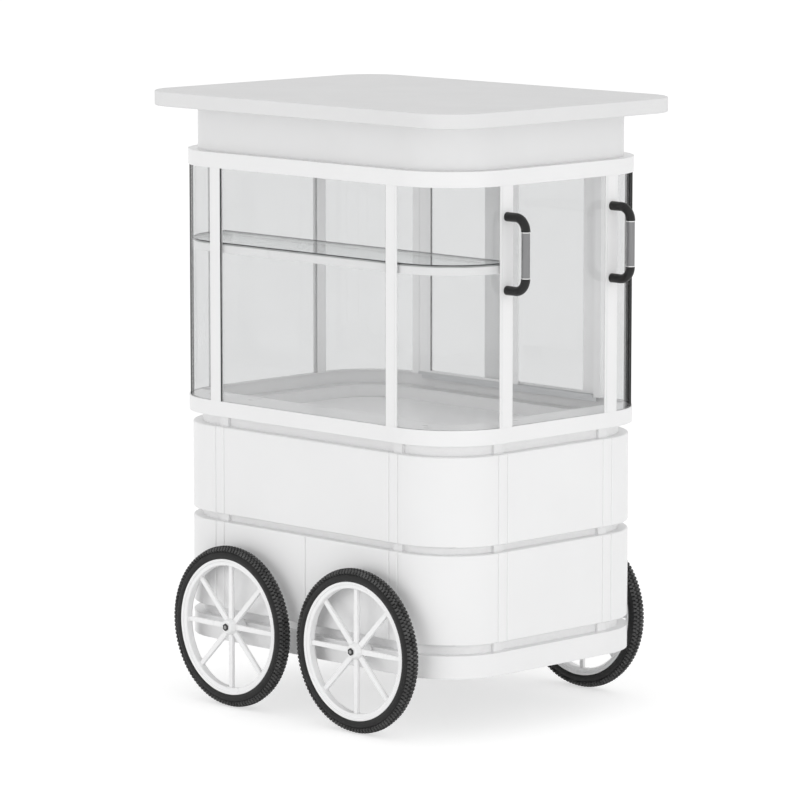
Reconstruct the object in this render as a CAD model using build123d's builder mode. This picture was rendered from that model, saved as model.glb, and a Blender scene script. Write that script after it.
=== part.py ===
from build123d import *
import os

os.makedirs("parts", exist_ok=True)

# Snack cart on four wheels. Millimetres, +Z up, the long side along X, the customer side
# towards -Y, the handle side towards +X. The origin is on the floor, midway between the wheels.

# Outline of the two rings, seen from above. Every other outline is set in from it.
half_length = 647.5
half_width = 465.0
corner_radius = 222.0

# Insets of the faces that follow that outline
skin = 12.0
upright_face = 33.0
wall_face = 43.0
wall_thickness = 12.0
wall_inside = wall_face + wall_thickness
fascia_inset = 31.0

# Heights
base_bottom = 191.0
base_top = 262.0
lower_bottom = 292.0
lower_top = 568.0
upper_bottom = 592.0
upper_top = 868.0
counter_bottom = 903.0
counter_top = 951.0
head_bottom = 1681.0
head_top = 1729.0
roof_bottom = 1864.0
roof_top = 1910.0
deck_top = 866.0
cupboard_floor_top = 583.0
board = 18.0
sheet = 3.0

# Posts and the panel joints below them
post_width = 38.0
post_thickness = 12.0
long_post_x = 386.0
short_post_y = 231.0
bay_x = long_post_x - post_width / 2
bay_y = short_post_y - post_width / 2
corner_x = long_post_x + post_width / 2
corner_y = short_post_y + post_width / 2
edge_round = 5.0
panel_wall = 3.0

# Glass
glass_inset = 4.0
glass_thickness = 6.0
groove_depth = 6.0

# Wheels
wheel_radius = 254.0
wheel_x = 280.0
wheel_y = 503.0
bead_radius = 206.5
shoulder_radius = 237.0
tyre_half_width = 20.5
rim_inside = 193.0
rim_width = 30.0
rim_depth = 22.0
hub_radius = 26.0
hub_end_radius = 21.0
hub_inner_end = 462.0
hub_outer_end = 527.0
spoke_count = 8
spoke_depth = 10.0
axle_radius = 8.0
axle_end = 541.0
collar_radius = 15.0
collar_width = 8.0
nut_flat = 12.0
nut_height = 11.0
running_gap = 0.05

# Roof slab
roof_length = 1395.0
roof_width = 1030.0
roof_radius = 142.0
roof_skin = 3.0

# Upper glass shelf
rim_bottom = 1417.0
rim_top = 1441.0
shelf_back_y = -192.0

# Handles on the short side
handle_x = 725.0
handle_low_z = 1366.5
handle_high_z = 1588.5
handle_bend = 40.5
elbow_radius = 14.0
grip_radius = 13.0

# Sliding glass doors
door_bottom = 953.5
door_top = 1678.0
door_width = 462.0
door_thickness = 7.0
inner_door_y = 435.0
outer_door_y = 446.0
door_centre_x = 155.0
stile = 46.0

# Cupboard doors
hinge_x = 367.0
hinge_y = 458.5
knuckle_radius = 5.0
hinge_pin_radius = 2.5
hinge_low_z = 610.0
hinge_high_z = 790.0
hinge_height = 60.0


def outline(inset, more_radius=0.0, mode=Mode.ADD):
    """The ring's outline, set in by a distance."""
    RectangleRounded(
        2 * (half_length - inset),
        2 * (half_width - inset),
        corner_radius - inset + more_radius,
        mode=mode,
    )


def leave_corners(half_x, half_y):
    """Takes the middle of all four sides out of a sketch, so four corners stay."""
    Rectangle(2 * half_x, 3000, mode=Mode.SUBTRACT)
    Rectangle(3000, 2 * half_y, mode=Mode.SUBTRACT)


def inset_of(point):
    """How far a point is inside the ring's outline."""
    over_x = abs(point.X) - (half_length - corner_radius)
    over_y = abs(point.Y) - (half_width - corner_radius)
    if over_x > 0 and over_y > 0:
        return corner_radius - (over_x**2 + over_y**2) ** 0.5
    return corner_radius - max(over_x, over_y)


def face_plane(side, along, height, inset):
    """A plane on one side of the cart, facing out. Its x runs along the side."""
    if side == "front":
        return Plane((along, inset - half_width, height), x_dir=(1, 0, 0), z_dir=(0, -1, 0))
    if side == "back":
        return Plane((along, half_width - inset, height), x_dir=(-1, 0, 0), z_dir=(0, 1, 0))
    if side == "left":
        return Plane((inset - half_length, along, height), x_dir=(0, -1, 0), z_dir=(-1, 0, 0))
    return Plane((half_length - inset, along, height), x_dir=(0, 1, 0), z_dir=(1, 0, 0))


def bar(plane, width, bottom, top, depth, edge=0.0):
    """An upright bar whose outer face lies in the plane, with that face's edges rounded."""
    middle = Plane((plane.origin.X, plane.origin.Y, (bottom + top) / 2), plane.x_dir, plane.z_dir)
    with BuildPart() as piece:
        with BuildSketch(middle.offset(-depth)):
            Rectangle(width, top - bottom)
        extrude(amount=depth)
        if edge:
            outer = piece.faces().sort_by(Axis((0, 0, 0), middle.z_dir))[-1]
            fillet(outer.edges(), edge)
    return piece.part


def tray(plane, width, bottom, top, depth):
    """A panel folded from sheet: rounded outside, hollow towards the cabinet."""
    middle = Plane((plane.origin.X, plane.origin.Y, (bottom + top) / 2), plane.x_dir, plane.z_dir)
    with BuildPart() as piece:
        add(bar(plane, width, bottom, top, depth, edge_round))
        with BuildSketch(middle.offset(-depth)):
            Rectangle(width - 2 * panel_wall, top - bottom - 2 * panel_wall)
        extrude(amount=depth - panel_wall, mode=Mode.SUBTRACT)
    return piece.part


def corner_trays(bottom, top):
    """The four curved corner panels of one row."""
    with BuildPart() as piece:
        with BuildSketch(Plane.XY.offset(bottom)):
            outline(skin)
            outline(wall_face - 0.3, mode=Mode.SUBTRACT)
            leave_corners(corner_x, corner_y)
        extrude(amount=top - bottom)
        outer = piece.edges().filter_by(lambda e: abs(inset_of(e @ 0.5) - skin) < 0.2)
        rounded = outer.filter_by(
            lambda e: abs(abs((e @ 0.5).X) - corner_x) < 0.5
            or abs(abs((e @ 0.5).Y) - corner_y) < 0.5
            or abs((e @ 0.0).Z - (e @ 1.0).Z) < 0.5
        )
        fillet(rounded, edge_round)
        with BuildSketch(Plane.XY.offset(bottom + panel_wall)):
            outline(skin + panel_wall)
            outline(wall_face - 0.3, mode=Mode.SUBTRACT)
            leave_corners(corner_x + panel_wall, corner_y + panel_wall)
        extrude(amount=top - bottom - 2 * panel_wall, mode=Mode.SUBTRACT)
    return piece.part


def channel_ring(bottom, top, face, low_flange, high_flange):
    """A ring folded to a channel: a band with a flange inwards at its foot and at its head."""
    with BuildPart() as piece:
        with BuildSketch(Plane.XY.offset(bottom)):
            outline(face)
            outline(face + sheet, mode=Mode.SUBTRACT)
        extrude(amount=top - bottom)
        with BuildSketch(Plane.XY.offset(bottom)):
            outline(face)
            outline(low_flange, mode=Mode.SUBTRACT)
        extrude(amount=sheet)
        with BuildSketch(Plane.XY.offset(top - sheet)):
            outline(face)
            outline(high_flange, mode=Mode.SUBTRACT)
        extrude(amount=sheet)
    return piece.part


# Base frame: a channel ring with an open notch in its web for each axle end
with BuildPart() as base_frame:
    add(channel_ring(base_bottom, base_top, skin, 75.0, 75.0))
    with BuildSketch(Plane.XY.offset(wheel_radius - axle_radius - 0.5)):
        with GridLocations(2 * wheel_x, 2 * (half_width - skin), 2, 2):
            Rectangle(2 * axle_radius + 1.0, 2 * sheet)
    extrude(amount=30, mode=Mode.SUBTRACT)


def axle(x):
    """A cross beam between the two webs, with a stub and a collar at each end."""
    reach = half_width - skin - sheet
    with BuildPart() as piece:
        with BuildSketch(Plane.XY.offset(base_bottom + sheet)):
            with Locations((x, 0)):
                Rectangle(40, 2 * reach)
        extrude(amount=base_top - base_bottom - 2 * sheet)
        with BuildSketch(Plane.XY.offset(base_bottom + sheet)):
            with Locations((x, 0)):
                Rectangle(32, 2 * reach - 20)
        extrude(amount=base_top - base_bottom - 2 * sheet - 4, mode=Mode.SUBTRACT)
        for side in (-1, 1):
            with BuildSketch(Plane((x, side * reach, wheel_radius), z_dir=(0, side, 0))):
                Circle(axle_radius)
            extrude(amount=axle_end - reach)
            collar_end = hub_inner_end - 0.5
            with BuildSketch(Plane((x, side * collar_end, wheel_radius), z_dir=(0, side, 0))):
                Circle(collar_radius)
            extrude(amount=-collar_width)
    return piece.part


with BuildPart() as axle_left:
    add(axle(-wheel_x))

with BuildPart() as axle_right:
    add(axle(wheel_x))

# Hexagon nuts that hold the wheels on the axle ends
with BuildPart() as axle_nuts:
    for x in (-wheel_x, wheel_x):
        for side in (-1, 1):
            with BuildSketch(Plane((x, side * (hub_outer_end + 1), wheel_radius), z_dir=(0, side, 0))):
                RegularPolygon(nut_flat, 6, major_radius=False)
                Circle(axle_radius + running_gap, mode=Mode.SUBTRACT)
            extrude(amount=nut_height)


def wheel_rim(x, side):
    """Rim, eight spokes and a deep hub, cast in one piece. The rim is bevelled at the back."""
    section = Plane((x, 0, wheel_radius), x_dir=(0, side, 0), z_dir=(side, 0, 0))
    turn = Axis((x, 0, wheel_radius), (0, 1, 0))
    seat = bead_radius - 0.3
    front_face = wheel_y + rim_width / 2
    back_face = wheel_y - rim_width / 2
    with BuildPart() as piece:
        with BuildSketch(section):
            Polygon(
                (front_face - 2, rim_inside),
                (front_face, rim_inside + 2),
                (front_face, seat),
                (back_face, seat),
                (back_face, rim_inside + 6),
                (front_face - rim_depth, rim_inside),
                align=None,
            )
        revolve(axis=turn)
        with BuildSketch(section):
            Polygon(
                (hub_inner_end, 0),
                (hub_inner_end, hub_end_radius),
                (wheel_y - rim_width / 2, hub_radius),
                (wheel_y + 8, hub_radius),
                (hub_outer_end - 3, hub_end_radius),
                (hub_outer_end, hub_end_radius - 3),
                (hub_outer_end, 0),
                align=None,
            )
        revolve(axis=turn)
        with BuildSketch(Plane((x, side * wheel_y, wheel_radius), z_dir=(0, side, 0))):
            with PolarLocations(0, spoke_count):
                Polygon((15, 10), (rim_inside + 3, 8), (rim_inside + 3, -8), (15, -10), align=None)
        extrude(amount=spoke_depth / 2, both=True, taper=14)
        with BuildSketch(Plane((x, side * hub_inner_end, wheel_radius), z_dir=(0, side, 0))):
            Circle(axle_radius + running_gap)
        extrude(amount=hub_outer_end - hub_inner_end, mode=Mode.SUBTRACT)
    return piece.part


def wheel_tyre(x, side):
    """Tyre with plain sidewalls, a stepped shoulder and a crowned tread."""
    section = Plane((x, 0, wheel_radius), x_dir=(0, side, 0), z_dir=(side, 0, 0))
    wall = tyre_half_width - 1.5
    edge = wheel_radius - 6
    with BuildPart() as piece:
        with BuildSketch(section):
            with BuildLine():
                Line((wheel_y - 15, bead_radius), (wheel_y + 15, bead_radius))
                for way in (-1, 1):
                    Polyline(
                        (wheel_y + way * 15, bead_radius),
                        (wheel_y + way * wall, shoulder_radius - 15),
                        (wheel_y + way * wall, shoulder_radius),
                        (wheel_y + way * tyre_half_width, shoulder_radius + 1),
                        (wheel_y + way * (tyre_half_width - 6), edge),
                    )
                ThreePointArc(
                    (wheel_y - tyre_half_width + 6, edge),
                    (wheel_y, wheel_radius),
                    (wheel_y + tyre_half_width - 6, edge),
                )
            make_face()
        revolve(axis=Axis((x, 0, wheel_radius), (0, 1, 0)))
    return piece.part


with BuildPart() as wheel_front_left_rim:
    add(wheel_rim(-wheel_x, -1))

with BuildPart() as wheel_front_left_tyre:
    add(wheel_tyre(-wheel_x, -1))

with BuildPart() as wheel_front_right_rim:
    add(wheel_rim(wheel_x, -1))

with BuildPart() as wheel_front_right_tyre:
    add(wheel_tyre(wheel_x, -1))

with BuildPart() as wheel_back_left_rim:
    add(wheel_rim(-wheel_x, 1))

with BuildPart() as wheel_back_left_tyre:
    add(wheel_tyre(-wheel_x, 1))

with BuildPart() as wheel_back_right_rim:
    add(wheel_rim(wheel_x, 1))

with BuildPart() as wheel_back_right_tyre:
    add(wheel_tyre(wheel_x, 1))

# Carcass: a bent wall on the base frame, open at the back where the cupboard doors are
with BuildPart() as cabinet_shell:
    with BuildSketch(Plane.XY.offset(base_top)):
        outline(wall_face)
        outline(wall_inside, mode=Mode.SUBTRACT)
    extrude(amount=counter_bottom - base_top)
    with BuildSketch(face_plane("back", 0, 715.0, wall_face - 5)):
        Rectangle(704, 234)
    extrude(amount=-40, mode=Mode.SUBTRACT)

# Boards inside the carcass
with BuildPart() as bottom_board:
    with BuildSketch(Plane.XY.offset(base_top)):
        outline(wall_inside, 3.0)
    extrude(amount=board)

with BuildPart() as cupboard_floor:
    with BuildSketch(Plane.XY.offset(cupboard_floor_top - board)):
        outline(wall_inside, 3.0)
    extrude(amount=board)

# The display deck ends at the leg of the counter shelf
shelf_edge_y = -315.0
shelf_edge_x = 526.0
with BuildPart() as display_deck:
    with BuildSketch(Plane.XY.offset(deck_top - board)):
        outline(wall_inside, 3.0)
        with Locations((0, shelf_edge_y - 500)):
            Rectangle(2000, 1000, mode=Mode.SUBTRACT)
        with Locations((shelf_edge_x + 500, 0)):
            Rectangle(1000, 2000, mode=Mode.SUBTRACT)
    extrude(amount=board)

# Where the eight panel joints are: on each side, this far from its middle both ways
joint_places = {
    "front": long_post_x,
    "back": long_post_x,
    "left": short_post_y,
    "right": short_post_y,
}

# Eight flat uprights on the carcass, seen in the gaps between the panels
with BuildPart() as uprights:
    for side, place in joint_places.items():
        for along in (-place, place):
            plane = face_plane(side, along, 0, upright_face)
            add(bar(plane, post_width, base_top, counter_bottom, wall_face - upright_face))

# Cover strips over the panel joints, folded from sheet
with BuildPart() as upper_strips:
    for side, place in joint_places.items():
        for along in (-place, place):
            plane = face_plane(side, along, 0, skin)
            add(tray(plane, post_width, upper_bottom, upper_top, upright_face - skin))

with BuildPart() as lower_strips:
    for side, place in joint_places.items():
        for along in (-place, place):
            plane = face_plane(side, along, 0, skin)
            add(tray(plane, post_width, lower_bottom, lower_top, upright_face - skin))

# Panels
panel_depth = wall_face - skin

with BuildPart() as upper_front_panel:
    add(tray(face_plane("front", 0, 0, skin), 2 * bay_x, upper_bottom, upper_top, panel_depth))

with BuildPart() as upper_side_panels:
    for side in ("left", "right"):
        add(tray(face_plane(side, 0, 0, skin), 2 * bay_y, upper_bottom, upper_top, panel_depth))

with BuildPart() as upper_corner_panels:
    add(corner_trays(upper_bottom, upper_top))

with BuildPart() as lower_front_panels:
    for along in (-bay_x / 2, bay_x / 2):
        add(tray(face_plane("front", along, 0, skin), bay_x - 0.6, lower_bottom, lower_top, panel_depth))

with BuildPart() as lower_back_panels:
    for along in (-bay_x / 2, bay_x / 2):
        add(tray(face_plane("back", along, 0, skin), bay_x - 0.6, lower_bottom, lower_top, panel_depth))

with BuildPart() as lower_side_panels:
    for side in ("left", "right"):
        add(tray(face_plane(side, 0, 0, skin), 2 * bay_y, lower_bottom, lower_top, panel_depth))

with BuildPart() as lower_corner_panels:
    add(corner_trays(lower_bottom, lower_top))

# Counter ring, with a wide foot flange on the carcass wall
with BuildPart() as counter_ring:
    add(channel_ring(counter_bottom, counter_top, 0.0, wall_inside + 2, 16.0))

# Counter shelf along the front and the handle side: a folded sheet, its inner leg past the deck
with BuildPart() as counter_shelf:
    with BuildSketch(Plane.XY.offset(counter_top - sheet)):
        outline(16.3)
        with Locations((shelf_edge_x - 1000, shelf_edge_y + 1000)):
            Rectangle(2000, 2000, mode=Mode.SUBTRACT)
    extrude(amount=sheet)
    with BuildSketch(Plane.XY.offset(counter_bottom + sheet)):
        outline(16.3)
        outline(16.3 + sheet, mode=Mode.SUBTRACT)
        with Locations((shelf_edge_x - 1000, shelf_edge_y + 1000)):
            Rectangle(2000, 2000, mode=Mode.SUBTRACT)
    extrude(amount=counter_top - counter_bottom - 2 * sheet)
    with BuildSketch(Plane.XY.offset(deck_top - board)):
        outline(wall_inside + 2.5)
        with Locations((shelf_edge_x - 1000, shelf_edge_y + 1000)):
            Rectangle(2000, 2000, mode=Mode.SUBTRACT)
        with Locations((shelf_edge_x + sheet + 500, 0)):
            Rectangle(1000, 2000, mode=Mode.SUBTRACT)
        with Locations((0, shelf_edge_y - sheet - 500)):
            Rectangle(2000, 1000, mode=Mode.SUBTRACT)
    extrude(amount=counter_top - sheet - deck_top + board)


def glazing_post(side, along, grooves):
    """A flat bar between the rings, grooved on the sides where glass enters it."""
    plane = face_plane(side, along, 0, 0.0)
    with BuildPart() as piece:
        add(bar(plane, post_width, counter_top, head_bottom, post_thickness))
        for turn in grooves:
            groove_middle = Plane(
                (plane.origin.X, plane.origin.Y, (counter_top + head_bottom) / 2),
                plane.x_dir,
                plane.z_dir,
            )
            with BuildSketch(groove_middle.offset(-10.5)):
                with Locations((turn * (post_width - groove_depth) / 2, 0)):
                    Rectangle(groove_depth, head_bottom - counter_top)
            extrude(amount=7.0, mode=Mode.SUBTRACT)
    return piece.part


with BuildPart() as front_posts:
    for along in (-long_post_x, long_post_x):
        add(glazing_post("front", along, (-1, 1)))

with BuildPart() as side_posts:
    for side in ("left", "right"):
        for along in (-short_post_y, short_post_y):
            add(glazing_post(side, along, (-1, 1)))

with BuildPart() as back_posts:
    add(glazing_post("back", -long_post_x, (1,)))
    add(glazing_post("back", long_post_x, (-1,)))

# Fixed glass
with BuildPart() as front_glass:
    plane = face_plane("front", 0, 0, glass_inset)
    add(bar(plane, 2 * bay_x + 10, counter_top, head_bottom, glass_thickness))

with BuildPart() as left_glass:
    plane = face_plane("left", 0, 0, glass_inset)
    add(bar(plane, 2 * bay_y + 10, counter_top, head_bottom, glass_thickness))

with BuildPart() as right_glass:
    plane = face_plane("right", 0, 0, glass_inset)
    add(bar(plane, 2 * bay_y + 10, counter_top, head_bottom, glass_thickness))

with BuildPart() as corner_glass:
    with BuildSketch(Plane.XY.offset(counter_top)):
        outline(glass_inset)
        outline(glass_inset + glass_thickness, mode=Mode.SUBTRACT)
        leave_corners(corner_x - 5, corner_y - 5)
    extrude(amount=head_bottom - counter_top)

# Head: ring, ceiling, sign band and roof
with BuildPart() as top_ring:
    add(channel_ring(head_bottom, head_top, 0.0, 16.0, 50.0))

with BuildPart() as ceiling_panel:
    with BuildSketch(Plane.XY.offset(head_top - sheet - 12)):
        outline(20.0)
    extrude(amount=12)

with BuildPart() as sign_fascia:
    with BuildSketch(Plane.XY.offset(head_top)):
        outline(fascia_inset)
        outline(fascia_inset + sheet, mode=Mode.SUBTRACT)
    extrude(amount=roof_bottom - head_top)

with BuildPart() as roof_panel:
    with BuildSketch(Plane.XY.offset(roof_bottom)):
        RectangleRounded(roof_length, roof_width, roof_radius)
    extrude(amount=roof_top - roof_bottom)
    rims = roof_panel.faces().filter_by(Axis.Z).edges()
    fillet(rims, 4)
    with BuildSketch(Plane.XY.offset(roof_bottom + roof_skin)):
        RectangleRounded(roof_length - 2 * roof_skin, roof_width - 2 * roof_skin, roof_radius - roof_skin)
    extrude(amount=roof_top - roof_bottom - 2 * roof_skin, mode=Mode.SUBTRACT)
    with BuildSketch(Plane.XY.offset(roof_bottom)):
        outline(70.0)
    extrude(amount=10, mode=Mode.SUBTRACT)

# Upper shelf: a white rim along the front and round both front corners, and its glass plate
with BuildPart() as shelf_rim:
    with BuildSketch(Plane.XY.offset(rim_bottom)):
        outline(post_thickness)
        outline(post_thickness + 8, mode=Mode.SUBTRACT)
        with Locations((0, shelf_back_y + 1000)):
            Rectangle(3000, 2000, mode=Mode.SUBTRACT)
    extrude(amount=rim_top - rim_bottom)
    with BuildSketch(Plane.XY.offset(rim_bottom)):
        with GridLocations(2 * (half_length - post_thickness - 16), 0, 2, 1):
            with Locations((0, shelf_back_y - 4)):
                Rectangle(32, 8)
    extrude(amount=rim_top - rim_bottom)

with BuildPart() as shelf_glass:
    with BuildSketch(Plane.XY.offset(rim_top)):
        outline(14.0)
        with Locations((0, shelf_back_y - 4 + 1000)):
            Rectangle(3000, 2000, mode=Mode.SUBTRACT)
    extrude(amount=8)

# Handles: black elbows on the two posts of the handle side, and grey grips between them
with BuildPart() as handle_elbows:
    for y in (-short_post_y, short_post_y):
        for foot_z, rise in ((handle_low_z, 1), (handle_high_z, -1)):
            with BuildLine() as way:
                Line((half_length, y, foot_z), (handle_x - handle_bend, y, foot_z))
                ThreePointArc(
                    (handle_x - handle_bend, y, foot_z),
                    (
                        handle_x - handle_bend * (1 - 0.70710678),
                        y,
                        foot_z + rise * handle_bend * (1 - 0.70710678),
                    ),
                    (handle_x, y, foot_z + rise * handle_bend),
                )
            with BuildSketch(Plane((half_length, y, foot_z), z_dir=(1, 0, 0))):
                Circle(elbow_radius)
            sweep(path=way.wire())

with BuildPart() as handle_grips:
    for y in (-short_post_y, short_post_y):
        with BuildSketch(Plane.XY.offset(handle_low_z + handle_bend)):
            with Locations((handle_x, y)):
                Circle(grip_radius)
        extrude(amount=handle_high_z - handle_low_z - 2 * handle_bend)

# Tracks of the sliding glass doors: one on the counter ring, one under the top ring
track_length = 774.0
with BuildPart() as bottom_track:
    with BuildSketch(Plane.YZ.offset(-track_length / 2)):
        Polygon((428, 951), (445, 951), (445, 935), (449, 935), (449, 951), (452.5, 951),
                (452.5, 959), (450, 959), (450, 953), (442, 953), (442, 959), (439, 959),
                (439, 953), (431, 953), (431, 959), (428, 959), align=None)
    extrude(amount=track_length)

with BuildPart() as top_track:
    with BuildSketch(Plane.YZ.offset(-track_length / 2)):
        Polygon((428, 1681), (445, 1681), (445, 1697), (449, 1697), (449, 1681), (452.5, 1681),
                (452.5, 1671), (450, 1671), (450, 1679), (442, 1679), (442, 1671), (439, 1671),
                (439, 1679), (431, 1679), (431, 1671), (428, 1671), align=None)
    extrude(amount=track_length)

window_bottom = 966.0
window_top = 1665.0
pull_x = 352.0
pull_z = 1290.0


def facing_back(x, y, z):
    """A plane that faces the vendor's side."""
    return Plane((x, y, z), x_dir=(-1, 0, 0), z_dir=(0, 1, 0))


def door_frame(x, y, pull_at):
    """The frame of a sliding door: a plate with the window and the pull's slot cut out."""
    middle = (door_bottom + door_top) / 2
    with BuildPart() as piece:
        with BuildSketch(facing_back(x, y + door_thickness / 2, middle)):
            Rectangle(door_width, door_top - door_bottom)
        extrude(amount=-door_thickness)
        with BuildSketch(facing_back(x, y + 10, (window_bottom + window_top) / 2)):
            Rectangle(door_width - 2 * stile, window_top - window_bottom)
        extrude(amount=-20, mode=Mode.SUBTRACT)
        with BuildSketch(facing_back(pull_at, y + 10, pull_z)):
            Rectangle(16, 90)
        extrude(amount=-20, mode=Mode.SUBTRACT)
    return piece.part


def door_pane(x, y):
    """The glass in the window of a sliding door."""
    with BuildPart() as piece:
        with BuildSketch(facing_back(x, y + 2, (window_bottom + window_top) / 2)):
            Rectangle(door_width - 2 * stile, window_top - window_bottom)
        extrude(amount=-4)
    return piece.part


def cup_pull(x, y):
    """A finger cup let into the stile."""
    with BuildPart() as piece:
        with BuildSketch(facing_back(x, y + door_thickness / 2, pull_z)):
            Rectangle(16, 90)
        extrude(amount=-door_thickness)
        with BuildSketch(facing_back(x, y + door_thickness / 2, pull_z)):
            Rectangle(13, 87)
        extrude(amount=1.5 - door_thickness, mode=Mode.SUBTRACT)
    return piece.part


with BuildPart() as slide_door_left_frame:
    add(door_frame(-door_centre_x, inner_door_y, -pull_x))

with BuildPart() as slide_door_left_glass:
    add(door_pane(-door_centre_x, inner_door_y))

with BuildPart() as slide_door_left_pull:
    add(cup_pull(-pull_x, inner_door_y))

with BuildPart() as slide_door_right_frame:
    add(door_frame(door_centre_x, outer_door_y, pull_x))

with BuildPart() as slide_door_right_glass:
    add(door_pane(door_centre_x, outer_door_y))

with BuildPart() as slide_door_right_pull:
    add(cup_pull(pull_x, outer_door_y))


def cupboard_door(side):
    """A board door: a face flush with the panels on a leaf that covers the opening."""
    centre = side * (bay_x / 2)
    with BuildPart() as piece:
        face = face_plane("back", centre, 0, skin)
        add(bar(face, bay_x - 3, upper_bottom, upper_top, upright_face - skin, edge_round))
        leaf = face_plane("back", centre, 0, upright_face)
        add(bar(leaf, bay_x - 3, upper_bottom - 6, upper_top + 6, wall_face - upright_face - 0.6))
    return piece.part


def door_pull(side):
    """A bar pull on two legs."""
    face_y = half_width - skin
    x = side * 40.0
    with BuildPart() as piece:
        for z in (685.0, 775.0):
            with BuildSketch(Plane((x, face_y, z), z_dir=(0, 1, 0))):
                Circle(4)
            extrude(amount=28)
        with BuildSketch(Plane.XY.offset(665.0)):
            with Locations((x, face_y + 28)):
                Circle(6)
        extrude(amount=130)
    return piece.part


def moving_hinge_leaves(side):
    """The two hinge leaves screwed to a cupboard door, each with its middle knuckle."""
    face_y = half_width - skin
    with BuildPart() as piece:
        for z in (hinge_low_z, hinge_high_z):
            with BuildSketch(Plane.XY.offset(z)):
                with Locations((side * (hinge_x - 17), face_y + 1)):
                    Rectangle(22, 2)
            extrude(amount=hinge_height)
            with BuildSketch(Plane.XY.offset(z + 20.5)):
                with Locations((side * hinge_x, hinge_y)):
                    Circle(knuckle_radius)
                with Locations((side * (hinge_x - 14), face_y + 1)):
                    Rectangle(28, 2)
                with Locations((side * hinge_x, hinge_y)):
                    Circle(hinge_pin_radius + running_gap, mode=Mode.SUBTRACT)
            extrude(amount=19)
    return piece.part


with BuildPart() as cupboard_door_left:
    add(cupboard_door(-1))

with BuildPart() as cupboard_door_left_pull:
    add(door_pull(-1))

with BuildPart() as cupboard_door_left_hinge_leaves:
    add(moving_hinge_leaves(-1))

with BuildPart() as cupboard_door_right:
    add(cupboard_door(1))

with BuildPart() as cupboard_door_right_pull:
    add(door_pull(1))

with BuildPart() as cupboard_door_right_hinge_leaves:
    add(moving_hinge_leaves(1))

# Hinge leaves on the strips beside the doors, each with an upper and a lower knuckle
with BuildPart() as hinge_fixed_leaves:
    face_y = half_width - skin
    for side in (-1, 1):
        for z in (hinge_low_z, hinge_high_z):
            with BuildSketch(Plane.XY.offset(z)):
                with Locations((side * (hinge_x + 16), face_y + 1)):
                    Rectangle(20, 2)
            extrude(amount=hinge_height)
            for knuckle_z in (z, z + 40):
                with BuildSketch(Plane.XY.offset(knuckle_z)):
                    with Locations((side * hinge_x, hinge_y)):
                        Circle(knuckle_radius)
                    with Locations((side * (hinge_x + 13), face_y + 1)):
                        Rectangle(26, 2)
                    with Locations((side * hinge_x, hinge_y)):
                        Circle(hinge_pin_radius + running_gap, mode=Mode.SUBTRACT)
                extrude(amount=20)

# Hinge pins with a small head
with BuildPart() as hinge_pins:
    for side in (-1, 1):
        for z in (hinge_low_z, hinge_high_z):
            with BuildSketch(Plane.XY.offset(z)):
                with Locations((side * hinge_x, hinge_y)):
                    Circle(hinge_pin_radius)
            extrude(amount=hinge_height)
            with BuildSketch(Plane.XY.offset(z + hinge_height)):
                with Locations((side * hinge_x, hinge_y)):
                    Circle(4)
            extrude(amount=2)

pieces = {
    "base_frame": base_frame,
    "axle_left": axle_left,
    "axle_right": axle_right,
    "axle_nuts": axle_nuts,
    "wheel_front_left_rim": wheel_front_left_rim,
    "wheel_front_left_tyre": wheel_front_left_tyre,
    "wheel_front_right_rim": wheel_front_right_rim,
    "wheel_front_right_tyre": wheel_front_right_tyre,
    "wheel_back_left_rim": wheel_back_left_rim,
    "wheel_back_left_tyre": wheel_back_left_tyre,
    "wheel_back_right_rim": wheel_back_right_rim,
    "wheel_back_right_tyre": wheel_back_right_tyre,
    "cabinet_shell": cabinet_shell,
    "bottom_board": bottom_board,
    "cupboard_floor": cupboard_floor,
    "display_deck": display_deck,
    "uprights": uprights,
    "upper_strips": upper_strips,
    "lower_strips": lower_strips,
    "upper_front_panel": upper_front_panel,
    "upper_side_panels": upper_side_panels,
    "upper_corner_panels": upper_corner_panels,
    "lower_front_panels": lower_front_panels,
    "lower_back_panels": lower_back_panels,
    "lower_side_panels": lower_side_panels,
    "lower_corner_panels": lower_corner_panels,
    "counter_ring": counter_ring,
    "counter_shelf": counter_shelf,
    "front_posts": front_posts,
    "side_posts": side_posts,
    "back_posts": back_posts,
    "front_glass": front_glass,
    "left_glass": left_glass,
    "right_glass": right_glass,
    "corner_glass": corner_glass,
    "top_ring": top_ring,
    "ceiling_panel": ceiling_panel,
    "sign_fascia": sign_fascia,
    "roof_panel": roof_panel,
    "shelf_rim": shelf_rim,
    "shelf_glass": shelf_glass,
    "handle_elbows": handle_elbows,
    "handle_grips": handle_grips,
    "bottom_track": bottom_track,
    "top_track": top_track,
    "slide_door_left_frame": slide_door_left_frame,
    "slide_door_left_glass": slide_door_left_glass,
    "slide_door_left_pull": slide_door_left_pull,
    "slide_door_right_frame": slide_door_right_frame,
    "slide_door_right_glass": slide_door_right_glass,
    "slide_door_right_pull": slide_door_right_pull,
    "cupboard_door_left": cupboard_door_left,
    "cupboard_door_left_pull": cupboard_door_left_pull,
    "cupboard_door_left_hinge_leaves": cupboard_door_left_hinge_leaves,
    "cupboard_door_right": cupboard_door_right,
    "cupboard_door_right_pull": cupboard_door_right_pull,
    "cupboard_door_right_hinge_leaves": cupboard_door_right_hinge_leaves,
    "hinge_fixed_leaves": hinge_fixed_leaves,
    "hinge_pins": hinge_pins,
}
for name, piece in pieces.items():
    piece.part.label = name
    export_step(piece.part, f"parts/{name}.step")
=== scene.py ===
"""Looks of the snack cart: paint, glass, metal and rubber, tyres, small fittings and the studio."""

import math

import bmesh
import bpy
from mathutils import Matrix, Vector


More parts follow.
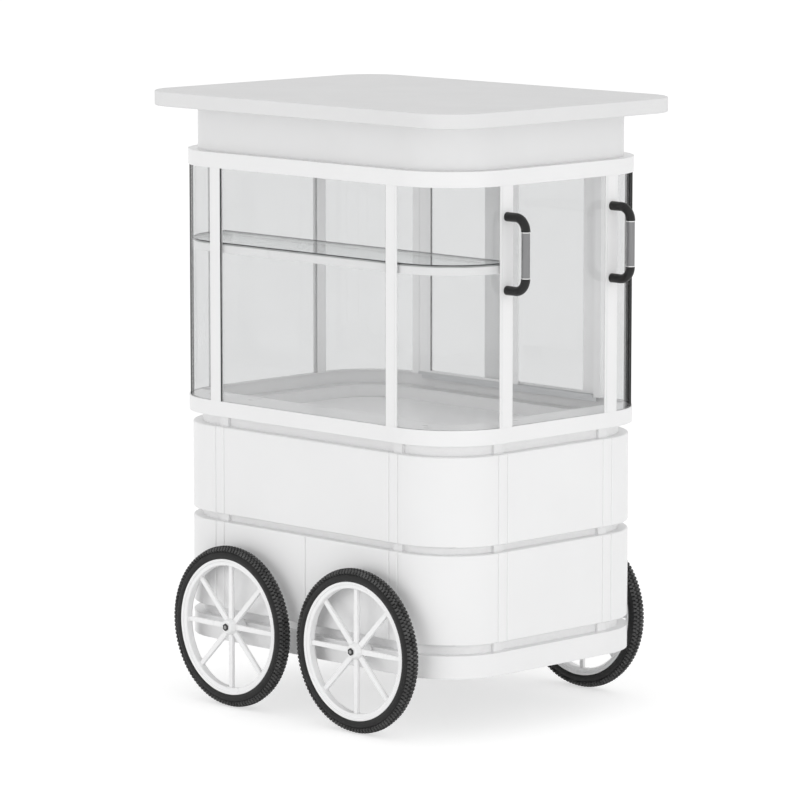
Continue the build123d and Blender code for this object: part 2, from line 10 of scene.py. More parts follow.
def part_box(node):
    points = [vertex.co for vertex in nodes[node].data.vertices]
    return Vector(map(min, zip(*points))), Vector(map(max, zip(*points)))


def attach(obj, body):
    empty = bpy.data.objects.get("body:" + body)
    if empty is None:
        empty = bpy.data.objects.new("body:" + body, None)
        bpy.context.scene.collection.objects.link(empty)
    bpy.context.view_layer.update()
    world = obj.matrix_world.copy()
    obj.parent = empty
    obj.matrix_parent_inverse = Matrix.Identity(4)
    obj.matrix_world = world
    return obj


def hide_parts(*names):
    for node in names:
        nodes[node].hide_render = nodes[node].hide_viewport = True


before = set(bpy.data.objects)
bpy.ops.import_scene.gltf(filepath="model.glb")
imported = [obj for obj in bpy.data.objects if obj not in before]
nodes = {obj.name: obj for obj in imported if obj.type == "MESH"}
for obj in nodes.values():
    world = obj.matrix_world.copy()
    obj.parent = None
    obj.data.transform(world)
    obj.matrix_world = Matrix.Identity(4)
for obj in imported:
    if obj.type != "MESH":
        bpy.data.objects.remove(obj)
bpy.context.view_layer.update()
scene = bpy.context.scene
scene.view_settings.view_transform = "Standard"
scene.cycles.transparent_max_bounces = 32

WHEELS = ("wheel_front_left", "wheel_front_right", "wheel_back_left", "wheel_back_right")
SLIDING_DOORS = ("slide_door_left", "slide_door_right")
CUPBOARD_DOORS = ("cupboard_door_left", "cupboard_door_right")
BOTH_WAYS = (-1, 1)

# Places inside a node that its box doesn't give, in metres
FRONT_BAY_X = 0.367
SIDE_BAY_Y = 0.212
# Height above which the shelf glass's edge is painted black, as shadow
SHELF_PAINTED_SHADOW_FROM_Z = 1.4447
# Where the corner glass's painted dark reflection begins, as x + y
PAINTED_DARK_CORNER_FROM = 0.75

# Colours of the glass: for light that falls through it, and of the shelf's polished edge, which is
# grey with black painted shadow along its top
CLEAR_FOR_LIGHT = (0.985, 0.985, 0.985)
EDGE_GREY = (0.42, 0.43, 0.43)
EDGE_PAINTED_SHADOW = (0.02, 0.022, 0.022)


def set_camera():
    """A long lens at the photograph's place."""
    lens = bpy.data.cameras.new("camera")
    lens.sensor_width = 36.0
    lens.lens = 216.68
    lens.clip_start = 0.1
    lens.clip_end = 200.0
    camera = bpy.data.objects.new("camera", lens)
    camera.location = (10.595, -10.549, 3.0781)
    camera.rotation_euler = (math.radians(90.0 - 8.116), 0.0, math.radians(45.233))
    scene.collection.objects.link(camera)
    scene.camera = camera


# Shader helpers


def shader_of(name):
    material = bpy.data.materials.new(name)
    material.use_nodes = True
    return material, material.node_tree, material.node_tree.nodes["Principled BSDF"]


def put(tree, kind, **values):
    """A shader node with its inputs filled in. An input that gets a socket is linked to it."""
    node = tree.nodes.new(kind)
    for key, value in values.items():
        if key.startswith("set_"):
            setattr(node, key[4:], value)
            continue
        name = key.replace("_", " ").strip()
        socket = node.inputs[int(name)] if name.isdigit() else node.inputs[name]
        if isinstance(value, bpy.types.NodeSocket):
            tree.links.new(value, socket)
        else:
            socket.default_value = value
    return node


def math_of(tree, operation, first, second):
    node = put(tree, "ShaderNodeMath", set_operation=operation, _0=first, _1=second)
    return node.outputs[0]


def spread(tree, value, low, high, start=0.3, end=0.7):
    """Turns a value between start and end into one between low and high, and clamps it."""
    node = put(
        tree,
        "ShaderNodeMapRange",
        Value=value,
        From_Min=start,
        From_Max=end,
        To_Min=low,
        To_Max=high,
    )
    return node.outputs["Result"]


def object_place(tree):
    return put(tree, "ShaderNodeTexCoord").outputs["Object"]


def speckle(tree, scale, detail=2.0, roughness=0.5, stretch=(1.0, 1.0, 1.0)):
    """Noise on the object's own coordinates."""
    place = object_place(tree)
    if stretch != (1.0, 1.0, 1.0):
        place = put(tree, "ShaderNodeMapping", Vector=place, Scale=stretch).outputs["Vector"]
    noise = put(
        tree, "ShaderNodeTexNoise", Vector=place, Scale=scale, Detail=detail, Roughness=roughness
    )
    return noise.outputs["Fac"]


def blend(tree, factor, first, second):
    """Mixes two colours. Each is a colour or a socket."""
    mix = put(tree, "ShaderNodeMix", set_data_type="RGBA")
    for value, name in ((factor, "Factor_Float"), (first, "A_Color"), (second, "B_Color")):
        socket = next(one for one in mix.inputs if one.identifier == name)
        if isinstance(value, bpy.types.NodeSocket):
            tree.links.new(value, socket)
        elif name == "Factor_Float":
            socket.default_value = value
        else:
            socket.default_value = (*value, 1.0)
    return next(one for one in mix.outputs if one.identifier == "Result_Color")


def shaded(tree, colour, shade):
    """A colour, made lighter or darker by a value near 1."""
    grey = put(tree, "ShaderNodeCombineColor", Red=shade, Green=shade, Blue=shade).outputs["Color"]
    mix = put(tree, "ShaderNodeVectorMath", set_operation="MULTIPLY", _0=colour, _1=grey)
    return mix.outputs["Vector"]


def finish_surface(tree, shader, colour, gloss, bump):
    tree.links.new(colour, shader.inputs["Base Color"])
    tree.links.new(gloss, shader.inputs["Roughness"])
    tree.links.new(bump.outputs["Normal"], shader.inputs["Normal"])


# Finishes


def enamel(name, colour, gloss, ripple=0.05, coat=0.2, edge_round=0.0012, shine=0.4):
    """Sprayed enamel on sheet or casting: slight clouding, uneven gloss and a fine ripple."""
    material, tree, shader = shader_of(name)
    cloud = spread(tree, speckle(tree, 3.1, 4.0, 0.55), 0.985, 1.01)
    patches = speckle(tree, 11.0, 5.0, 0.6, (1.0, 1.0, 0.35))
    edge = put(tree, "ShaderNodeBevel", set_samples=4, Radius=edge_round).outputs["Normal"]
    peel = speckle(tree, 620.0, 2.0, 0.5)
    bump = put(
        tree, "ShaderNodeBump", Strength=ripple, Distance=0.0004, Height=peel, Normal=edge
    )
    finish_surface(
        tree,
        shader,
        shaded(tree, colour, cloud),
        spread(tree, patches, gloss - 0.04, gloss + 0.06),
        bump,
    )
    shader.inputs["Specular IOR Level"].default_value = shine
    shader.inputs["Coat Weight"].default_value = coat
    shader.inputs["Coat Roughness"].default_value = 0.12
    return material


def lacquer(name, colour, gloss):
    """Lacquered board, with a faint long grain under the lacquer."""
    material, tree, shader = shader_of(name)
    grain = speckle(tree, 60.0, 6.0, 0.65, (0.05, 1.0, 1.0))
    bump = put(tree, "ShaderNodeBump", Strength=0.06, Distance=0.0003, Height=grain)
    finish_surface(
        tree,
        shader,
        shaded(tree, colour, spread(tree, grain, 0.97, 1.01)),
        spread(tree, speckle(tree, 7.0, 4.0), gloss - 0.05, gloss + 0.08),
        bump,
    )
    shader.inputs["Specular IOR Level"].default_value = 0.35
    return material


def glass_surface(tree, tint, painted_dark_at_grazing, painted_dark_from_facing, painted_dark_corner=False):
    """One side of a pane: mirror-like at a slant, with a painted dark reflection where it is looked
    along.

    On request, a painted dark reflection also darkens the glass at the corner between the handle
    end and the back.
    """
    facing = put(tree, "ShaderNodeLayerWeight", Blend=0.5).outputs["Facing"]
    smear = spread(tree, speckle(tree, 5.0, 5.0, 0.6), 0.99, 1.0)
    # Painted dark reflection: the tint is darkened where the pane is seen at a grazing angle.
    edge = spread(tree, facing, 1.0, painted_dark_at_grazing, painted_dark_from_facing, painted_dark_from_facing + 0.02)
    shade = math_of(tree, "MULTIPLY", smear, edge)
    # Painted dark reflection on the back-right part of the corner pane, where x + y passes the
    # given value.
    if painted_dark_corner:
        place = put(tree, "ShaderNodeSeparateXYZ", Vector=object_place(tree)).outputs
        toward_corner = math_of(tree, "ADD", place["X"], place["Y"])
        at_painted_corner = math_of(tree, "GREATER_THAN", toward_corner, PAINTED_DARK_CORNER_FROM)
        slant = spread(tree, facing, 0.0, 1.0, 0.60, 0.615)
        deep = spread(tree, math_of(tree, "MULTIPLY", at_painted_corner, slant), 1.0, 0.56, 0.0, 1.0)
        shade = math_of(tree, "MULTIPLY", shade, deep)
    # Painted shade: the camera sees the pane's grey tint, while light that falls through the glass
    # finds it nearly clear.
    path = put(tree, "ShaderNodeLightPath").outputs
    light = math_of(tree, "MAXIMUM", path["Is Shadow Ray"], path["Is Diffuse Ray"])
    colour = blend(tree, light, shaded(tree, tint, shade), CLEAR_FOR_LIGHT)
    clear = put(tree, "ShaderNodeBsdfTransparent", Color=colour).outputs["BSDF"]
    rough = spread(tree, speckle(tree, 9.0, 4.0), 0.0, 0.05)
    shine = put(tree, "ShaderNodeBsdfAnisotropic", Color=(0.9, 0.9, 0.9, 1.0), Roughness=rough)
    steep = math_of(tree, "POWER", facing, 5.0)
    mirror = spread(tree, steep, 0.035, 0.7, 0.0, 1.0)
    mirror = math_of(tree, "MULTIPLY", mirror, math_of(tree, "POWER", shade, 4.0))
    mirror = math_of(tree, "MULTIPLY", mirror, math_of(tree, "SUBTRACT", 1.0, light))
    return put(
        tree, "ShaderNodeMixShader", _0=mirror, _1=clear, _2=shine.outputs["BSDF"]
    ).outputs["Shader"]


def pane(name, tint, painted_dark_at_grazing=0.41, painted_dark_from_facing=0.767, painted_dark_corner=False):
    """Clear sheet glass."""
    material, tree, shader = shader_of(name)
    tree.nodes.remove(shader)
    surface = glass_surface(tree, tint, painted_dark_at_grazing, painted_dark_from_facing, painted_dark_corner)
    tree.links.new(surface, tree.nodes["Material Output"].inputs["Surface"])
    return material


def shelf_pane(name, tint, painted_shadow_from_z):
    """Clear plate glass on the flat, with a polished grey edge whose top strip is painted black as
    shadow.
    """
    material, tree, shader = shader_of(name)
    upright = put(tree, "ShaderNodeNewGeometry").outputs["Normal"]
    upright = put(tree, "ShaderNodeSeparateXYZ", Vector=upright).outputs["Z"]
    is_edge = math_of(tree, "LESS_THAN", math_of(tree, "ABSOLUTE", upright, 0.0), 0.5)
    height = put(tree, "ShaderNodeSeparateXYZ", Vector=object_place(tree)).outputs["Z"]
    # Painted shadow: the top strip of the edge is black, the rest keeps the edge's own grey.
    in_painted_shadow = spread(tree, height, 0.0, 1.0, painted_shadow_from_z, painted_shadow_from_z + 0.0006)
    stain = spread(tree, speckle(tree, 14.0, 3.0), 0.75, 1.2)
    colour = blend(tree, in_painted_shadow, EDGE_GREY, EDGE_PAINTED_SHADOW)
    tree.links.new(shaded(tree, colour, stain), shader.inputs["Base Color"])
    rough = spread(tree, speckle(tree, 90.0, 3.0), 0.08, 0.2)
    tree.links.new(rough, shader.inputs["Roughness"])
    flat = glass_surface(tree, tint, 1.0, 0.99)
    surface = put(tree, "ShaderNodeMixShader", _0=is_edge, _1=flat, _2=shader.outputs["BSDF"])
    tree.links.new(surface.outputs["Shader"], tree.nodes["Material Output"].inputs["Surface"])
    return material


def rubber(name, colour, gloss, dust=(0.8, 1.3)):
    """Vulcanised rubber: dull and finely pitted, with dust on it."""
    material, tree, shader = shader_of(name)
    pits = speckle(tree, 1400.0, 2.0)
    bump = put(tree, "ShaderNodeBump", Strength=0.25, Distance=0.0003, Height=pits)
    finish_surface(
        tree,
        shader,
        shaded(tree, colour, spread(tree, speckle(tree, 26.0, 6.0, 0.7), *dust)),
        spread(tree, speckle(tree, 90.0, 3.0), gloss - 0.08, gloss + 0.12),
        bump,
    )
    shader.inputs["Specular IOR Level"].default_value = 0.3
    return material


def moulded(name, colour, gloss):
    """Moulded plastic with a fine leather-like grain."""
    material, tree, shader = shader_of(name)
    cells = put(tree, "ShaderNodeTexVoronoi", Vector=object_place(tree), Scale=1500.0)
    bump = put(
        tree, "ShaderNodeBump", Strength=0.12, Distance=0.0003, Height=cells.outputs["Distance"]
    )
    finish_surface(
        tree,
        shader,
        shaded(tree, colour, spread(tree, speckle(tree, 30.0, 3.0), 0.8, 1.25)),
        spread(tree, speckle(tree, 45.0, 3.0), gloss - 0.05, gloss + 0.08),
        bump,
    )
    shader.inputs["Specular IOR Level"].default_value = 0.4
    return material


def brushed(name, colour, gloss, stretch):
    """Brushed metal, with its lines along one axis."""
    material, tree, shader = shader_of(name)
    lines = speckle(tree, 900.0, 4.0, 0.6, stretch)
    bump = put(tree, "ShaderNodeBump", Strength=0.08, Distance=0.0002, Height=lines)
    finish_surface(
        tree,
        shader,
        shaded(tree, colour, spread(tree, lines, 0.86, 1.1)),
        spread(tree, lines, gloss - 0.06, gloss + 0.08),
        bump,
    )
    shader.inputs["Metallic"].default_value = 1.0
    return material


ALONG_X = (0.02, 1.0, 1.0)
ALONG_Z = (1.0, 1.0, 0.02)
ROUND = (1.0, 1.0, 1.0)

white_metal = enamel("white_metal", (0.86, 0.86, 0.862), 0.36)
# The roof's white is the paint made darker: painted shade on its top.
roof_white_painted_shade = enamel("roof_white_painted_shade", (0.775, 0.775, 0.777), 0.5, coat=0.0, shine=0.2)
# The fascia's white is the paint made darker: painted shade under the roof's overhang.
fascia_white_painted_shade = enamel("fascia_white_painted_shade", (0.78, 0.78, 0.782), 0.4)
# A lighter copy of the white paint for the door frames, jambs, pulls, counter shelf and shelf rim
# inside the case: painted light.
white_painted_light = enamel("white_painted_light", (0.93, 0.93, 0.932), 0.3)
wheel_white = enamel("wheel_white", (0.92, 0.92, 0.922), 0.28, 0.08, 0.4, 0.002)
white_board = lacquer("white_board", (0.88, 0.88, 0.882), 0.42)
# The deck board is lighter than the other board: painted light on the floor of the case.
deck_board_painted_light = lacquer("deck_board_painted_light", (0.96, 0.96, 0.962), 0.42)
pane_glass = pane("pane_glass", (0.913, 0.915, 0.916))
corner_pane = pane("corner_pane", (0.913, 0.915, 0.916), painted_dark_corner=True)
shelf_glass = shelf_pane("shelf_glass", (0.965, 0.975, 0.975), SHELF_PAINTED_SHADOW_FROM_Z)
sidewall_rubber = rubber("sidewall_rubber", (0.012, 0.012, 0.012), 0.45)
tread_rubber = rubber("tread_rubber", (0.055, 0.055, 0.055), 0.6, (0.4, 1.9))
seal_black = rubber("seal_black", (0.004, 0.004, 0.004), 0.6)
elbow_black = moulded("elbow_black", (0.007, 0.007, 0.007), 0.4)
pull_black = moulded("pull_black", (0.012, 0.012, 0.012), 0.4)
grip_steel = brushed("grip_steel", (0.27, 0.27, 0.275), 0.36, ALONG_Z)
collar_steel = brushed("collar_steel", (0.82, 0.82, 0.82), 0.16, ROUND)
axle_steel = brushed("axle_steel", (0.07, 0.07, 0.07), 0.45, ROUND)
end_steel = brushed("end_steel", (0.34, 0.34, 0.34), 0.35, ROUND)
hinge_steel = brushed("hinge_steel", (0.55, 0.55, 0.56), 0.3, ALONG_Z)
track_metal = brushed("track_metal", (0.72, 0.73, 0.74), 0.32, ALONG_X)

# The CAD nodes that are seen. The others have a piece below that stands for them.
FINISHES = {
    white_metal: """base_frame uprights upper_strips lower_strips upper_front_panel
        upper_side_panels upper_corner_panels lower_front_panels lower_back_panels
        lower_side_panels lower_corner_panels counter_ring front_posts side_posts back_posts
        top_ring""",
    roof_white_painted_shade: "roof_panel",
    fascia_white_painted_shade: "sign_fascia",
    white_painted_light: "counter_shelf shelf_rim slide_door_left_pull slide_door_right_pull",
    white_board: """cabinet_shell bottom_board cupboard_floor ceiling_panel
        cupboard_door_left cupboard_door_right""",
    deck_board_painted_light: "display_deck",
    wheel_white: " ".join(wheel + "_rim" for wheel in WHEELS),
    pane_glass: "front_glass left_glass right_glass",
    corner_pane: "corner_glass",
    shelf_glass: "shelf_glass",
    elbow_black: "handle_elbows",
    pull_black: "cupboard_door_left_pull cupboard_door_right_pull",
    grip_steel: "handle_grips",
    hinge_steel: """hinge_fixed_leaves hinge_pins cupboard_door_left_hinge_leaves
        cupboard_door_right_hinge_leaves""",
    track_metal: "bottom_track top_track",
}


def finish_cad_nodes():
    for material, names in FINISHES.items():
        for name in names.split():
            slots = nodes[name].material_slots
            if not slots:
                nodes[name].data.materials.append(material)
            for slot in slots:
                slot.material = material


# Pieces


def make_piece(bm, name, materials, body, smooth=None):
    """Turns a bmesh into a piece that rides on a body and takes a slot's finish."""
    bmesh.ops.recalc_face_normals(bm, faces=bm.faces)
    mesh = bpy.data.meshes.new(name)
    bm.to_mesh(mesh)
    bm.free()
    for material in materials:
        mesh.materials.append(material)
    made = bpy.data.objects.new(name, mesh)
    scene.collection.objects.link(made)
    if smooth is not None:
        mesh.shade_smooth()
        mesh.set_sharp_from_angle(angle=math.radians(smooth))
    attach(made, body)
    return made


def block(bm, low, high):
    """A block between two corners. Returns its vertices."""
    low, high = Vector(low), Vector(high)
    verts = bmesh.ops.create_cube(bm, size=1.0)["verts"]
    bmesh.ops.scale(bm, vec=high - low, verts=verts)
    bmesh.ops.translate(bm, vec=(low + high) / 2, verts=verts)
    return verts


def bevelled(bm, edges, width, steps):
    bmesh.ops.bevel(
        bm,
        geom=edges,
        offset=width,
        segments=steps,
        affect="EDGES",
        profile=0.5,
        material=-1,
    )


def turned(bm, profile, steps):
    """Spins a closed profile of (across, radius) once round the Y axis."""
    ring = [bm.verts.new((0.0, across, radius)) for across, radius in profile]
    edges = [bm.edges.new(pair) for pair in zip(ring, ring[1:] + ring[:1])]
    bmesh.ops.spin(
        bm,
        geom=ring + edges,
        cent=(0.0, 0.0, 0.0),
        axis=(0.0, 1.0, 0.0),
        angle=2 * math.pi,
        steps=steps,
        use_merge=True,
    )


# Tyres

BLOCK_COUNT = 120
TURN_STEPS = 128

# Half sections as (across, radius), and rows of blocks as (across, radius, lean, size, yaw, shift)
CARCASS_HALF = (
    (0.0150, 0.2105),
    (0.0176, 0.2130),
    (0.0194, 0.2150),
    (0.0206, 0.2180),
    (0.0218, 0.2230),
    (0.0216, 0.2275),
    (0.0204, 0.2315),
    (0.0182, 0.2350),
    (0.0148, 0.2390),
    (0.0100, 0.2422),
    (0.0040, 0.2438),
)
RIM_LIP = (
    (0.0130, 0.2050),
    (0.0172, 0.2050),
    (0.0190, 0.2066),
    (0.0196, 0.2100),
    (0.0192, 0.2132),
    (0.0180, 0.2142),
    (0.0166, 0.2132),
    (0.0150, 0.2100),
)
CENTRE_ROW = (0.0, 0.2536, 0.0, (0.0088, 0.0076, 0.0115), 0.0, 0.0)
SIDE_ROWS = (
    (0.0104, 0.2492, 0.45, (0.0076, 0.0074, 0.0100), 0.4, 0.5),
    (0.0188, 0.2452, 0.95, (0.0105, 0.0072, 0.0115), 0.1, 0.0),
)


def tread_row(bm, across, radius, lean, size, yaw, shift):
    """One row of tapered tread blocks round the tyre.

    Size is across, along and deep. Shift is a share of the step between two blocks.
    """
    step = 2 * math.pi / BLOCK_COUNT
    verts = bmesh.ops.create_cube(bm, size=1.0)["verts"]
    bmesh.ops.translate(bm, verts=verts, vec=(0.0, 0.0, -0.5))
    bmesh.ops.scale(bm, vec=(size[1], size[0], size[2]), verts=verts)
    foot = [v for v in verts if v.co.z < -size[2] / 2]
    bmesh.ops.scale(bm, vec=(1.28, 1.22, 1.0), verts=foot)
    bmesh.ops.rotate(bm, verts=verts, cent=(0, 0, 0), matrix=Matrix.Rotation(yaw, 3, "Z"))
    bmesh.ops.rotate(bm, verts=verts, cent=(0, 0, 0), matrix=Matrix.Rotation(-lean, 3, "X"))
    bmesh.ops.translate(bm, verts=verts, vec=(0.0, across, radius))
    bmesh.ops.rotate(
        bm, verts=verts, cent=(0, 0, 0), matrix=Matrix.Rotation(shift * step, 3, "Y")
    )
    edges = dict.fromkeys(edge for v in verts for edge in v.link_edges)
    faces = dict.fromkeys(face for v in verts for face in v.link_faces)
    for face in faces:
        face.material_index = 1
    bmesh.ops.spin(
        bm,
        geom=verts + list(edges) + list(faces),
        cent=(0.0, 0.0, 0.0),
        axis=(0.0, 1.0, 0.0),
        angle=step * (BLOCK_COUNT - 1),
        steps=BLOCK_COUNT - 1,
        use_duplicate=True,
    )


def knobbly_tyre(wheel):
    """Carcass with plain sidewalls, and five rows of tread blocks round it."""
    low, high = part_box(wheel + "_tyre")
    bm = bmesh.new()
    far_half = [(-across, radius) for across, radius in reversed(CARCASS_HALF)]
    turned(bm, list(CARCASS_HALF) + far_half, TURN_STEPS)
    tread_row(bm, *CENTRE_ROW)
    for way in BOTH_WAYS:
        for across, radius, lean, size, yaw, shift in SIDE_ROWS:
            tread_row(bm, way * across, radius, way * lean, size, way * yaw, shift)
    bmesh.ops.translate(bm, verts=bm.verts, vec=(low + high) / 2)
    tyre = make_piece(
        bm, wheel + "_knobbly_tyre", (sidewall_rubber, tread_rubber), wheel, 34
    )
    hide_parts(wheel + "_tyre")


def rim_lips(wheel):
    """The two rolled lips of a rim, which hold the tyre's beads."""
    low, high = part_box(wheel + "_tyre")
    bm = bmesh.new()
    for way in BOTH_WAYS:
        turned(bm, [(way * across, radius) for across, radius in RIM_LIP], TURN_STEPS)
    bmesh.ops.translate(bm, verts=bm.verts, vec=(low + high) / 2)
    make_piece(bm, wheel + "_rim_lips", (wheel_white,), wheel, 40)


# Axles and nuts


def rod(bm, start, way, radius, length, taper=1.0, segments=32):
    """A round rod that starts at a point and runs along Y. Returns its vertices."""
    verts = bmesh.ops.create_cone(
        bm,
        cap_ends=True,
        segments=segments,
        radius1=radius,
        radius2=radius * taper,
        depth=length,
    )["verts"]
    turn = Matrix.Rotation(-way * math.pi / 2, 3, "X")
    bmesh.ops.rotate(bm, verts=verts, cent=(0, 0, 0), matrix=turn)
    place = Vector(start) + Vector((0, way * length / 2, 0))
    bmesh.ops.translate(bm, verts=verts, vec=place)
    return verts


def painted_axles():
    """Two white cross beams with stubs and collars. The stubs end inside the hubs."""
    frame_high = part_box("base_frame")[1]
    hub_low, hub_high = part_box("wheel_back_right_rim")
    sheet, wall = 0.003, 0.004
    stub_radius, collar_radius, collar_width, collar_gap = 0.008, 0.015, 0.008, 0.0005
    bm = bmesh.new()
    for side in ("left", "right"):
        low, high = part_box("axle_" + side)
        reach = frame_high.y - sheet
        top = frame_high.z - sheet
        block(bm, (low.x, -reach, top - wall), (high.x, reach, top))
        for left in (low.x, high.x - wall):
            block(bm, (left, -reach, low.z), (left + wall, reach, top - wall))
        centre = (low.x + high.x) / 2
        for way in BOTH_WAYS:
            height = high.z - collar_radius
            rod(bm, (centre, way * reach, height), way, stub_radius, hub_high.y - reach)
            start = way * (hub_low.y - collar_gap - collar_width)
            rod(bm, (centre, start, height), way, collar_radius, collar_width)
    axles = make_piece(bm, "painted_axles", (white_metal,), "cart", 30)
    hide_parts("axle_left", "axle_right")


def low_nuts():
    """The low hexagon nuts that hold the wheels, with the axle ends showing in them."""
    hub_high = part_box("wheel_back_right_rim")[1]
    flat, height, play, edge_round = 0.0205, 0.0040, 0.0004, 0.0005
    end_radius, end_height, end_taper = 0.0058, 0.0010, 0.85
    bm = bmesh.new()
    edges = {}
    for wheel in WHEELS:
        low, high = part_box(wheel + "_tyre")
        middle = (low + high) / 2
        way = 1 if middle.y > 0 else -1
        start = Vector((middle.x, way * (hub_high.y + play), middle.z))
        nut = rod(bm, start, way, flat / math.sqrt(3), height, segments=6)
        edges.update(dict.fromkeys(edge for v in nut for edge in v.link_edges))
        start.y += way * height
        end = rod(bm, start, way, end_radius, end_height, end_taper, 24)
        for face in {face for v in end for face in v.link_faces}:
            face.material_index = 1
    bevelled(bm, list(edges), edge_round, 1)
    nuts = make_piece(bm, "low_nuts", (axle_steel, end_steel), "cart", 30)
    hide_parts("axle_nuts")


# Sliding doors, with their stiles as wide as the photograph shows them. The places along X
# are where the door ends, where its window starts and stops, and where it meets the other.

SLIDING_DOOR_EDGES = {
    "slide_door_left": (-0.386, -0.332, -0.021, 0.055),
    "slide_door_right": (0.386, 0.332, -0.033, -0.100),
}


def around(bm, low, high, hole_low, hole_high):
    """Four blocks that fill a plate around a hole through it."""
    block(bm, low, (hole_low.x, high.y, high.z))
    block(bm, (hole_high.x, low.y, low.z), high)
    block(bm, (hole_low.x, low.y, low.z), (hole_high.x, high.y, hole_low.z))
    block(bm, (hole_low.x, low.y, hole_high.z), (hole_high.x, high.y, high.z))


def sliding_door(door):
    """Frame with a slot for the pull, and the pane, of one door."""
    end, window_start, window_stop, meets = SLIDING_DOOR_EDGES[door]
    low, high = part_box(door + "_frame")
    glass_low, glass_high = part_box(door + "_glass")
    pull_low, pull_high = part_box(door + "_pull")
    left, right = sorted((window_start, window_stop))
    window_low = Vector((left, glass_low.y, glass_low.z))
    window_high = Vector((right, glass_high.y, glass_high.z))
    frame_bm = bmesh.new()
    stile_left, stile_right = sorted((end, window_start))
    stile_low = Vector((stile_left, low.y, low.z))
    stile_high = Vector((stile_right, high.y, high.z))
    around(frame_bm, stile_low, stile_high, pull_low, pull_high)
    meeting_left, meeting_right = sorted((window_stop, meets))
    block(frame_bm, (meeting_left, low.y, low.z), (meeting_right, high.y, high.z))
    block(frame_bm, (left, low.y, low.z), (right, high.y, window_low.z))
    block(frame_bm, (left, low.y, window_high.z), (right, high.y, high.z))
    made = make_piece(frame_bm, door + "_wide_frame", (white_painted_light,), door)
    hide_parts(door + "_frame")
    pane_bm = bmesh.new()
    block(pane_bm, window_low, window_high)
    made = make_piece(pane_bm, door + "_wide_pane", (pane_glass,), door)
    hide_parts(door + "_glass")


# Seals, collars and screws


def stile_seal():
    """A thin black seal beside the left door's end stile, standing a little proud inside."""
    door = "slide_door_left"
    face_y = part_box(door + "_frame")[0].y
    pane_low, pane_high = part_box(door + "_glass")
    edge = SLIDING_DOOR_EDGES[door][1]
    thick, proud = 0.0022, 0.0025
    bm = bmesh.new()
    block(bm, (edge, face_y - proud, pane_low.z), (edge + thick, face_y, pane_high.z))
    make_piece(bm, door + "_seal", (seal_black,), door)


def door_jambs():
    """White jambs beside the sliding doors, each with a return towards the glass."""
    width, wall, gap = 0.0295, 0.0035, 0.001
    low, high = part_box("slide_door_left_frame")
    post_low, post_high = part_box("back_posts")
    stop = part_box("slide_door_right_frame")[1].x + gap
    bm = bmesh.new()
    for way in BOTH_WAYS:
        left, right = sorted((way * stop, way * (stop + width)))
        block(bm, (left, low.y, post_low.z), (right, high.y, post_high.z))
        left, right = sorted((way * (stop + width - wall), way * (stop + width)))
        block(bm, (left, high.y, post_low.z), (right, post_low.y, post_high.z))
    make_piece(bm, "door_jambs", (white_painted_light,), "cart")


def front_pane_seals():
    """Black seals in the corners between the front pane and its two posts."""
    low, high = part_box("front_glass")
    width, proud = 0.0025, 0.002
    bm = bmesh.new()
    for way in BOTH_WAYS:
        left, right = sorted((way * (FRONT_BAY_X - width), way * FRONT_BAY_X))
        block(bm, (left, low.y - proud, low.z), (right, low.y, high.z))
    make_piece(bm, "front_pane_seals", (seal_black,), "cart")


def glazing_beads():
    """White beads that close the recess between the posts and the panes beside them."""
    width, recess = 0.008, 0.001
    front_low, front_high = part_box("front_posts")
    side_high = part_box("side_posts")[1]
    pane_low, pane_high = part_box("corner_glass")
    bm = bmesh.new()
    for way in BOTH_WAYS:
        left, right = sorted((way * front_high.x, way * (front_high.x + width)))
        block(bm, (left, front_low.y + recess, pane_low.z), (right, pane_low.y, pane_high.z))
        block(bm, (left, pane_high.y, pane_low.z), (right, -front_low.y - recess, pane_high.z))
        outer, inner = way * (side_high.x - recess), way * pane_high.x
        left, right = sorted((outer, inner))
        for along in (side_high.y, SIDE_BAY_Y - width):
            for start in (along, -along - width):
                block(bm, (left, start, pane_low.z), (right, start + width, pane_high.z))
    make_piece(bm, "glazing_beads", (white_metal,), "cart")


def grip_collars():
    """A bright collar at each end of both grips."""
    low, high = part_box("handle_grips")
    radius = (high.x - low.x) / 2
    centre_x = (low.x + high.x) / 2
    height, proud, edge_round = 0.003, 0.0013, 0.0006
    bm = bmesh.new()
    for y in (low.y + radius, high.y - radius):
        for z in (low.z + height / 2, high.z - height / 2):
            ring = bmesh.ops.create_cone(
                bm,
                cap_ends=True,
                segments=48,
                radius1=radius + proud,
                radius2=radius + proud,
                depth=height,
            )["verts"]
            edges = dict.fromkeys(edge for v in ring for edge in v.link_edges)
            flat = [e for e in edges if abs(e.verts[0].co.z - e.verts[1].co.z) < 1e-6]
            bmesh.ops.translate(bm, verts=ring, vec=(centre_x, y, z))
            bevelled(bm, flat, edge_round, 2)
    make_piece(bm, "grip_collars", (collar_steel,), "cart", 30)


